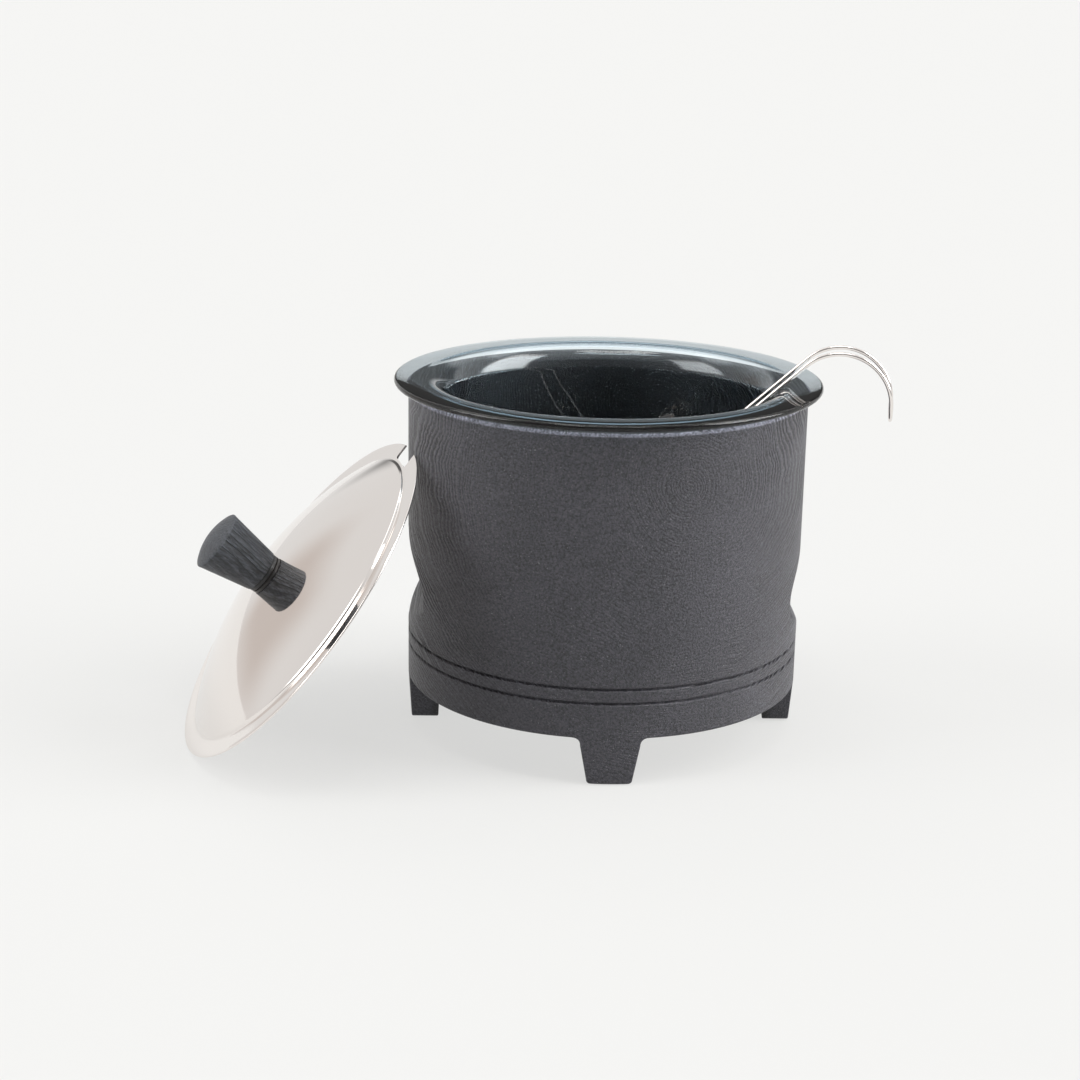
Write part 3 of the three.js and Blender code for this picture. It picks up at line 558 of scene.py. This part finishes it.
def foot_edge():
    """Half of a foot's outline as (sideways, height), from its middle out to the rim."""
    end = [(u, FOOT_BOTTOM) for u in spread(0, FOOT_END_HALF_WIDTH - FOOT_CORNER, 5)]
    corner = bend(
        end[-1], (FOOT_END_HALF_WIDTH, FOOT_BOTTOM), (FOOT_END_HALF_WIDTH, FOOT_BOTTOM + FOOT_CORNER), 5)
    low = corner[-1]
    high = (FOOT_ROOT_HALF_WIDTH, LOWER_RIM - FOOT_FILLET)
    flank = [(lerp(low[0], high[0], t), lerp(low[1], high[1], t)) for t in spread(0, 1, 7)[1:]]
    fillet = bend(
        high, (FOOT_ROOT_HALF_WIDTH, LOWER_RIM), (FOOT_ROOT_HALF_WIDTH + FOOT_FILLET, LOWER_RIM), 6)
    return end + corner + flank + fillet


def casing_columns():
    """What column_point() needs for each position round the casing: on a foot, its angle, a
    point of its outline and the outline's normal there; between feet, the foot before it and
    how far past that foot it is, in degrees, at the outside and at the bore."""
    half = foot_edge()
    outline = [(-u, z) for u, z in reversed(half[1:])] + half
    columns = []
    for foot in FOOT_ANGLES:
        for i, (u, z) in enumerate(outline):
            before = Vector(outline[max(i - 1, 0)])
            after = Vector(outline[min(i + 1, len(outline) - 1)])
            run = (after - before).normalized()
            columns.append(("foot", foot, u, z, -run.y, run.x))
        last = outline[-1][0]
        outer = math.degrees(math.asin(last / CASING_RADIUS))
        inner = math.degrees(math.asin(last / CASING_BORE))
        for i in range(1, WALL_STEPS):
            t = i / WALL_STEPS
            columns.append(("wall", foot, lerp(outer, 90 - outer, t), lerp(inner, 90 - inner, t)))
    return columns


def column_point(column, radius, inset):
    """(angle in radians, height) of the lower edge at a radius, set in from that edge."""
    if column[0] == "foot":
        _, foot, u, z, normal_u, normal_z = column
        return math.radians(foot) + math.asin((u + normal_u * inset) / radius), z + normal_z * inset
    _, foot, outer, inner = column
    t = (radius - CASING_BORE) / (CASING_RADIUS - CASING_BORE)
    return math.radians(foot + lerp(inner, outer, max(t, 0))), LOWER_RIM + inset


def hold_depth(z):
    """How deep the straight cut of the handhold is at a height."""
    if z <= HOLD_LIP_OUTER or z >= HOLD_FADE_TOP:
        return 0
    if z < HOLD_LIP_INNER:
        rise = (z - HOLD_LIP_OUTER) / (HOLD_LIP_INNER - HOLD_LIP_OUTER)
        return HOLD_DEPTH * rise ** HOLD_LIP_CURVE
    if z < HOLD_FLOOR_TOP:
        return HOLD_DEPTH
    t = (HOLD_FADE_TOP - z) / (HOLD_FADE_TOP - HOLD_FLOOR_TOP)
    return HOLD_DEPTH * (1 - math.cos(math.pi * t)) / 2


def scooped(radius, angle, z):
    """The wall's radius with the handholds cut in, their edges slightly softened."""
    cut = (CASING_RADIUS - hold_depth(z)) / max(abs(math.cos(angle)), 0.3)
    near = max(HOLD_EDGE - abs(radius - cut), 0) / HOLD_EDGE
    softened = min(radius, cut) - near * near * HOLD_EDGE / 4
    return softened if hold_depth(z) > 0 else radius


def inner_radius(z):
    return CASING_BORE + FOOT_INNER_TAPER * max(LOWER_RIM - z, 0) / LOWER_RIM


def outer_radius(z):
    return CASING_RADIUS - FOOT_OUTER_TAPER * max(LOWER_RIM - z, 0) / LOWER_RIM


def wall_rows():
    """(radius, height) down the outside, from the top's rounded edge to just above the rim."""
    rows = arc(CASING_RADIUS - TOP_EDGE, CASING_TOP - TOP_EDGE, TOP_EDGE, 82, 0, 6)
    rows += [(CASING_RADIUS, z) for z in spread(CASING_TOP - TOP_EDGE - 0.5, HOLD_FADE_TOP + 4, 14)]
    rows += [(CASING_RADIUS, z) for z in spread(HOLD_FADE_TOP + 1, HOLD_LIP_INNER + 0.5, 40)]
    rows += [(CASING_RADIUS, z) for z in spread(HOLD_LIP_INNER, HOLD_LIP_OUTER - 0.6, 16)]
    for middle in GROOVE_HEIGHTS:
        rows += [(CASING_RADIUS - depth, middle + rise) for depth, rise in GROOVE_SECTION]
    rows += [(CASING_RADIUS, z) for z in spread(GROOVE_HEIGHTS[-1] - 5, LOWER_RIM + 4, 4)]
    return rows


def bore_rows():
    """(radius, height) up the inside, from above the rim to the top face."""
    return [
        (CASING_BORE, LOWER_RIM + 4),
        (CASING_BORE, LEDGE_BOTTOM),
        (LEDGE_BORE, LEDGE_BOTTOM),
        (LEDGE_BORE, LEDGE_TOP),
        (CASING_BORE, LEDGE_TOP),
        (CASING_BORE, 100),
        (CASING_BORE, 160),
        (CASING_BORE, CASING_TOP - SEAT_CHAMFER - 0.6),
        (CASING_BORE + 0.25, CASING_TOP - SEAT_CHAMFER),
        (CASING_BORE + SEAT_CHAMFER - 0.2, CASING_TOP - 0.3),
        (CASING_BORE + SEAT_CHAMFER + 0.6, CASING_TOP),
        (lerp(CASING_BORE, CASING_RADIUS, 0.5), CASING_TOP),
        (CASING_RADIUS - TOP_EDGE - 0.5, CASING_TOP),
    ]


def casing_mesh():
    columns = casing_columns()
    rows = []
    outer_angles = [column_point(c, CASING_RADIUS, 0)[0] for c in columns]
    inner_angles = [column_point(c, CASING_BORE, 0)[0] for c in columns]

    def add_row(points):
        rows.append([(r * math.cos(a), r * math.sin(a), z) for r, a, z in points])

    for radius, z in wall_rows():
        add_row([(scooped(radius, a, z), a, z) for a in outer_angles])
    wall_end = wall_rows()[-1][1]
    steps = 7
    for i in range(1, steps + 1):
        t = i / steps
        row = []
        for column, angle in zip(columns, outer_angles):
            edge_angle, edge_z = column_point(column, CASING_RADIUS, EDGE)
            z = lerp(wall_end, edge_z, t)
            row.append((outer_radius(z), lerp(angle, edge_angle, t), z))
        add_row(row)

    def edge_rows(outside, turns):
        for turn in turns:
            inset = EDGE * (1 - math.sin(turn))
            back = EDGE * (1 - math.cos(turn))
            row = []
            for column in columns:
                z = column_point(column, CASING_RADIUS, inset)[1]
                radius = outer_radius(z) - back if outside else inner_radius(z) + back
                row.append((radius, *column_point(column, radius, inset)))
            add_row(row)

    quarter = [math.radians(a) for a in (30, 60, 90)]
    edge_rows(True, quarter)
    for t in (0.33, 0.67):
        row = []
        for column in columns:
            z = column_point(column, CASING_RADIUS, 0)[1]
            radius = lerp(outer_radius(z) - EDGE, inner_radius(z) + EDGE, t)
            row.append((radius, *column_point(column, radius, 0)))
        add_row(row)
    edge_rows(False, list(reversed(quarter)) + [0])
    bore = bore_rows()
    for i in range(1, steps):
        t = i / steps
        row = []
        for column, angle in zip(columns, inner_angles):
            z_edge = column_point(column, CASING_RADIUS, EDGE)[1]
            edge_angle = column_point(column, inner_radius(z_edge), EDGE)[0]
            z = lerp(z_edge, bore[0][1], t)
            row.append((inner_radius(z), lerp(edge_angle, angle, t), z))
        add_row(row)
    face_width = CASING_RADIUS - CASING_BORE - SEAT_CHAMFER
    for radius, z in bore:
        t = max(0, (radius - CASING_BORE - SEAT_CHAMFER) / face_width)
        add_row([(radius, lerp(a, b, t), z) for a, b in zip(inner_angles, outer_angles)])
    vertices = [point for row in rows for point in row]
    faces = [tuple(reversed(f)) for f in grid_faces(len(rows), len(columns))]
    return vertices, faces


vertices, faces = casing_mesh()
casing = add_object("wood_casing", vertices, faces, MATERIALS["stained_wood"], sharp=32)
finish_piece(casing, "casing", "stained_wood", "casing")

for name, angle in zip(("front", "right", "back", "left"), FOOT_ANGLES):
    low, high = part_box(f"foot_pad_{name}")
    centre = Vector(((low.x + high.x) / 2, (low.y + high.y) / 2, 0))
    pad = lathe(
        f"rubber_pad_{name}",
        [(0, 0.25), (2.2, 0.25), (2.6, 0), (5.3, 0), (5.8, 0.2), (PAD_RADIUS, 0.6),
         (PAD_RADIUS, PAD_THICKNESS), (0, PAD_THICKNESS)],
        MATERIALS["rubber"], 40, place=Matrix.Translation(centre))
    finish_piece(pad, "casing", "rubber", f"foot_pad_{name}")

# ---- heat plate, seen through the bowl ----------------------------------------------------

plate_low, plate_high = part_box("heat_plate")
plate_bottom = plate_low.z / MM
plate_top = plate_high.z / MM
plate_radius = (plate_high.x - plate_low.x) / 2 / MM


def heat_plate_profile():
    """A turned plate, with shallow rings left by the tool on its top face."""
    ring_floor = plate_top - PLATE_RING_DEPTH
    top = [(0, ring_floor)]
    for r in range(PLATE_RING, int(plate_radius) - 4, PLATE_RING):
        top += [(r, ring_floor), (r + 0.5, plate_top), (r + 7, plate_top), (r + 7.5, ring_floor)]
    top += [(plate_radius - 1.2, plate_top), (plate_radius - 0.3, plate_top - 0.3)]
    top += [(plate_radius, plate_top - 1.2)]
    bottom = [(0, plate_bottom), (plate_radius - 0.8, plate_bottom), (plate_radius, plate_bottom + 0.8)]
    return bottom + top[::-1]


plate = lathe("turned_heat_plate", heat_plate_profile(), MATERIALS["aluminium"], 128)
finish_piece(plate, "casing", "aluminium", "heat_plate")

# ---- bowl ---------------------------------------------------------------------------------

BEND_CENTRE = (BOWL_RADIUS + LIP_BEND, FLANGE_UNDERSIDE - LIP_BEND)


def bowl_profile():
    bead = GLASS / 2
    corner_r = BOWL_RADIUS - BOWL_CORNER
    corner_z = BOWL_BOTTOM + BOWL_CORNER
    wall = [(BOWL_RADIUS, z) for z in spread(corner_z, BEND_CENTRE[1], 5)[1:-1]]
    inner_wall = [(BOWL_RADIUS - GLASS, z) for _, z in reversed(wall)]
    return [
        (0, BOWL_BOTTOM),
        (40, BOWL_BOTTOM),
        *arc(corner_r, corner_z, BOWL_CORNER, -90, 0, 14),
        *wall,
        *arc(*BEND_CENTRE, LIP_BEND, 180, 90, 14),
        *arc(FLANGE_RADIUS - bead, FLANGE_UNDERSIDE + bead, bead, -90, 90, 10),
        *arc(*BEND_CENTRE, LIP_BEND + GLASS, 90, 180, 16),
        *inner_wall,
        *arc(corner_r, corner_z, BOWL_CORNER - GLASS, 0, -90, 14),
        (40, BOWL_BOTTOM + GLASS),
        (0, BOWL_BOTTOM + GLASS),
    ]


bowl = lathe("clear_bowl", bowl_profile(), MATERIALS["clear_glass"], 192, sharp=60)
finish_piece(bowl, "bowl", "clear_glass", "glass_bowl")

# ---- ladle --------------------------------------------------------------------------------

slope = math.radians(LADLE_SLOPE)
SHANK = Vector((math.cos(slope), 0, math.sin(slope)))
SHANK_SIDE = Vector((-SHANK.z, 0, SHANK.x))
WIRE_TO_CUP_AXIS = math.sqrt(CUP_RADIUS ** 2 - WIRE_HALF_SPREAD ** 2) + WIRE_RADIUS + GAP
hook_start = Vector((HOOK_START[0], 0, HOOK_START[1]))
shank_length = (HOOK_START[1] + WIRE_TO_CUP_AXIS * SHANK_SIDE.z - CUP_HEIGHT) / SHANK.z
cup_centre = hook_start - SHANK * shank_length + SHANK_SIDE * WIRE_TO_CUP_AXIS
ladle_frame = Matrix.Translation(axis) @ Matrix.Rotation(math.radians(LADLE_TURN), 4, "Z")


def wire_path():
    """Up one leg, over the hook, round the turned end, and back down the other leg."""
    centre = hook_start - SHANK_SIDE * HOOK_RADIUS
    leg = [hook_start - SHANK * d for d in spread(shank_length + WIRE_BELOW_RIM, 0, 24)[:-1]]
    leg += [Vector((x, 0, z)) for x, z in arc(centre.x, centre.z, HOOK_RADIUS, 90 + LADLE_SLOPE, 0, 44)]
    tip = leg[-1]
    join = HOOK_DROP_END + WIRE_RADIUS + WIRE_HALF_SPREAD
    turn = [Vector((tip.x, y, z)) for y, z in arc(0, join, WIRE_HALF_SPREAD, 180, 360, 24)]
    near = [p + Vector((0, -WIRE_HALF_SPREAD, 0)) for p in leg]
    far = [p + Vector((0, WIRE_HALF_SPREAD, 0)) for p in reversed(leg)]
    return near + turn + far


vertices, faces = sweep(wire_path(), WIRE_RADIUS, 16)
wire = add_object("ladle_wire", vertices, faces, MATERIALS["polished_steel"], 50, ladle_frame)
finish_piece(wire, "ladle", "polished_steel", "ladle_handle")


def cup_profile():
    def quarter(radius, depth, start, end):
        return [(r * radius, z * depth) for r, z in arc(0, 0, 1, start, end, 20)]

    outer = quarter(CUP_RADIUS, CUP_DEPTH, -90, -4)
    inner = quarter(CUP_RADIUS - CUP_WALL, CUP_DEPTH - CUP_WALL, -4, -90)
    rim = arc(CUP_RADIUS - CUP_WALL / 2, -CUP_WALL / 2, CUP_WALL / 2, 0, 180, 8)
    return [(0, outer[0][1]), *outer[1:], *rim, *inner[:-1], (0, inner[-1][1])]


cup_lean = Matrix.Rotation(math.radians(90 - LADLE_SLOPE), 4, "Y")
cup_frame = ladle_frame @ Matrix.Translation(cup_centre * MM) @ cup_lean
cup = lathe("ladle_bowl", cup_profile(), MATERIALS["polished_steel"], 96, 50, cup_frame)
finish_piece(cup, "ladle", "polished_steel", "ladle_cup")

# ---- lid ----------------------------------------------------------------------------------

lean = math.radians(LID_LEAN)
heading = math.radians(LID_HEADING)
up_slope = Vector((math.cos(lean) * math.cos(heading), math.cos(lean) * math.sin(heading), math.sin(lean)))
across = Vector((-math.sin(heading), math.cos(heading), 0))
outwards = up_slope.cross(across)
lid_middle = axis + (Vector((*LID_FOOT, 0)) + up_slope * LID_RADIUS) * MM
lid_frame = Matrix.Translation(lid_middle) @ Matrix((up_slope, across, outwards)).transposed().to_4x4()


def dome_height(radius):
    inwards = 1 - (radius / LID_STEP_RADIUS) ** 2
    return LID_STEP_HEIGHT + (LID_DOME_HEIGHT - LID_STEP_HEIGHT) * inwards


def lid_top_line():
    """(radius, height) of the lid's upper surface, from the knob screw out to the edge."""
    dome = [(r, dome_height(r)) for r in spread(SCREW_BORE, LID_STEP_RADIUS - 1.2, 40)]
    step_middle = (LID_STEP_RADIUS + 0.35, LID_STEP_HEIGHT - 0.8)
    flange_start = (LID_FLANGE_INNER + 0.6, LID_SHEET)
    shoulder = bend(dome[-1], (LID_STEP_RADIUS, LID_STEP_HEIGHT + 0.1), step_middle, 6)
    foot = bend(step_middle, (LID_STEP_RADIUS + 0.6, LID_SHEET), flange_start, 6)
    flange = [(r, LID_SHEET) for r in spread(flange_start[0], LID_RIM - 0.6, 4)[1:]]
    return dome + shoulder + foot + flange


def lid_profile():
    """The sheet's closed section: the upper line, the rounded edge, and the underside."""
    top = lid_top_line()
    under = []
    for i, (r, z) in enumerate(top):
        before = Vector(top[max(i - 1, 0)])
        after = Vector(top[min(i + 1, len(top) - 1)])
        run = (after - before).normalized()
        under.append((max(r + run.y * LID_SHEET, SCREW_BORE), max(z - run.x * LID_SHEET, 0)))
    edge = arc(LID_RIM - LID_SHEET / 2, LID_SHEET / 2, LID_SHEET / 2, -90, 90, 8)
    return under + edge + top[::-1]


def cut_notch(obj):
    """Takes the notch out of the lid's edge, with rounded inner corners."""
    inner = LID_RADIUS - NOTCH_DEPTH
    outer = LID_RADIUS + 10
    low = NOTCH_OFFSET - NOTCH_WIDTH / 2
    high = NOTCH_OFFSET + NOTCH_WIDTH / 2
    corners = [(inner, low), (outer, low), (outer, high), (inner, high)]
    outline = rounded(corners, [NOTCH_CORNER, 0, 0, NOTCH_CORNER], 6)
    count = len(outline)
    vertices = [(x, y, -3) for x, y in outline] + [(x, y, LID_STEP_HEIGHT + 4) for x, y in outline]
    faces = [tuple(range(count - 1, -1, -1)), tuple(range(count, 2 * count))]
    faces += [(k, (k + 1) % count, count + (k + 1) % count, count + k) for k in range(count)]
    cutter = add_object("notch_cutter", vertices, faces, MATERIALS["polished_steel"], 30, lid_frame)
    boolean = obj.modifiers.new("notch", "BOOLEAN")
    boolean.operation = "DIFFERENCE"
    boolean.solver = "EXACT"
    boolean.object = cutter
    bpy.context.view_layer.update()
    evaluated = obj.evaluated_get(bpy.context.evaluated_depsgraph_get())
    mesh = bpy.data.meshes.new_from_object(evaluated)
    obj.modifiers.clear()
    obj.data = mesh
    mesh.shade_smooth()
    mesh.set_sharp_from_angle(angle=math.radians(40))
    bpy.data.objects.remove(cutter)


lid = lathe("lid_shell", lid_profile(), MATERIALS["polished_steel"], 256, 40, lid_frame)
cut_notch(lid)
finish_piece(lid, "lid", "polished_steel", "lid_pan")


def knob_grip_profile():
    bottom = KNOB_WASHER_TOP + GAP
    crown_radius = (KNOB_END ** 2 + KNOB_CROWN ** 2) / (2 * KNOB_CROWN)
    crown_centre = KNOB_END_HEIGHT + KNOB_CROWN - crown_radius
    crown_start = math.degrees(math.asin((KNOB_END_HEIGHT - crown_centre) / crown_radius))
    crown = arc(0, crown_centre, crown_radius, crown_start + 1.5, 90, 20)[:-1]
    flank = [
        (lerp(KNOB_FOOT, KNOB_END - 0.25, t), lerp(bottom + 0.7, KNOB_END_HEIGHT - 1.4, t))
        for t in spread(0, 1, 8)
    ]
    return [
        (0, bottom),
        (KNOB_FOOT - 0.6, bottom),
        (KNOB_FOOT - 0.15, bottom + 0.2),
        *flank,
        (KNOB_END - 0.05, KNOB_END_HEIGHT - 0.7),
        (KNOB_END - 0.1, KNOB_END_HEIGHT - 0.2),
        (KNOB_END - 0.5, KNOB_END_HEIGHT + 0.1),
        *crown,
        (0, KNOB_END_HEIGHT + KNOB_CROWN),
    ]


knob_grip = lathe(
    "knob_handle", knob_grip_profile(), MATERIALS["knob_wood"], 96, 35, lid_frame, own_axes=True)
finish_piece(knob_grip, "lid", "knob_wood", "knob_grip")

# The washer is pressed between the lid and the grip, so it stands closer to them than the CAD's.
washer_bottom = LID_DOME_HEIGHT + 0.1
washer_top = KNOB_WASHER_TOP + 0.2
knob_washer = lathe(
    "knob_collar",
    rounded([(SCREW_BORE, washer_bottom), (KNOB_WASHER, washer_bottom - 0.3),
             (KNOB_WASHER, washer_top), (SCREW_BORE, washer_top)],
            [0, 0.5, 0.5, 0], steps=4),
    MATERIALS["black_plastic"], 96, 35, lid_frame)
finish_piece(knob_washer, "lid", "black_plastic", "knob_washer")

# ---- the CAD nodes that stay --------------------------------------------------------------

slot_of_node = {row["node"]: row["material_slot"] for row in frame["record"]["subparts"]}

for name, node in frame["nodes"].items():
    if node.hide_render:
        continue
    node.data.materials.clear()
    node.data.materials.append(MATERIALS[slot_of_node[name]])
    node.data.shade_smooth()
    node.data.set_sharp_from_angle(angle=math.radians(30))

EDGED_NODES = ("base_plate", "control_dial", "power_inlet", "terminal_block", "thermostat", "ladle_clip")
for name in EDGED_NODES:
    soften_edges(frame["nodes"][name], 0.5)

# ---- floor and light ----------------------------------------------------------------------

FLOOR_HALF_SIZE = 60                # metres
FLOOR_TONE = (0.17, 0.17, 0.168)
FLOOR_GLOW = (0.625, 0.625, 0.617)


def make_floor():
    """A pale floor that glows for the camera and in reflections, and hardly lights the pot."""
    size = FLOOR_HALF_SIZE
    corners = [(-size, -size, 0), (size, -size, 0), (size, size, 0), (-size, size, 0)]
    mesh = bpy.data.meshes.new("floor")
    mesh.from_pydata(corners, [], [(0, 1, 2, 3)])
    floor = bpy.data.objects.new("floor", mesh)
    bpy.context.scene.collection.objects.link(floor)
    m = Material("pale_floor", Base_Color=colour(*FLOOR_TONE), Roughness=1.0, Specular_IOR_Level=0.0)
    scattered = m.node("ShaderNodeLightPath").outputs["Is Diffuse Ray"]
    glow = m.math("MULTIPLY_ADD", scattered, -0.9, 1.0)
    m.set(Emission_Color=colour(*FLOOR_GLOW), Emission_Strength=glow)
    mesh.materials.append(m.material)


# Softboxes round the set: azimuth, half width, elevation, half height, softness, brightness.
# Azimuth 0 is towards -Y, the camera's side. A negative brightness is a dark card.
SOFTBOXES = (
    (-78, 22, 32, 22, 8, 4.2),
    (82, 24, 34, 28, 8, 7.5),
    (180, 70, 52, 8, 5, 1.2),
    (-20, 70, 76, 7, 4, 7.0),
    (168, 32, 16, 15, 8, -0.68),
)
# A warm, slightly darker card in the same terms, for the mirror-bright lid to reflect.
CARD = (-128, 20, 14, 20, 14, -0.16)
CARD_TINT = (1.0, 0.92, 0.87)
ROOM_TINT = (1.0, 0.995, 0.985)
# The room's own brightness: dim on the camera's side, bright behind the pot and overhead.
ROOM_DIM = 0.2
ROOM_BRIGHT = 0.8


def panel(g, azimuth, elevation, box):
    """How far inside a softbox a direction is, from 0 to 1."""
    centre, half_width, height, half_height, soft, _ = box
    offset = g.math("SUBTRACT", azimuth, math.radians(centre))
    wrapped = g.math("ABSOLUTE", g.math("WRAP", offset, math.pi, -math.pi))
    beside = g.rescale(wrapped, math.radians(half_width - soft), math.radians(half_width), 1.0, 0.0)
    rise = g.math("ABSOLUTE", g.math("SUBTRACT", elevation, math.radians(height)))
    above = g.rescale(rise, math.radians(half_height - soft), math.radians(half_height), 1.0, 0.0)
    return g.math("MULTIPLY", beside, above)


def make_world():
    world = bpy.data.worlds.new("studio")
    bpy.context.scene.world = world
    world.use_nodes = True
    world.node_tree.nodes.clear()
    g = Graph(world.node_tree)
    direction = g.node("ShaderNodeTexCoord").outputs["Generated"]
    x, y, z = g.separate(direction)
    elevation = g.math("ARCSINE", z)
    azimuth = g.math("ARCTAN2", x, g.math("MULTIPLY", y, -1.0))
    light = g.rescale(y, -1.0, 0.3, ROOM_DIM, ROOM_BRIGHT)
    light = g.math("MAXIMUM", light, g.rescale(z, 0.5, 0.95, 0.0, ROOM_BRIGHT))
    for box in SOFTBOXES:
        light = g.math("MULTIPLY_ADD", panel(g, azimuth, elevation, box), box[-1], light)
    card = panel(g, azimuth, elevation, CARD)
    light = g.math("MULTIPLY_ADD", card, CARD[-1], light)
    tint = g.mix(card, colour(*ROOM_TINT), colour(*CARD_TINT))
    background = g.node("ShaderNodeBackground", Color=tint, Strength=light)
    output = g.node("ShaderNodeOutputWorld")
    g.tree.links.new(background.outputs[0], output.inputs["Surface"])


make_floor()
make_world()
bpy.context.scene.view_settings.view_transform = "Standard"
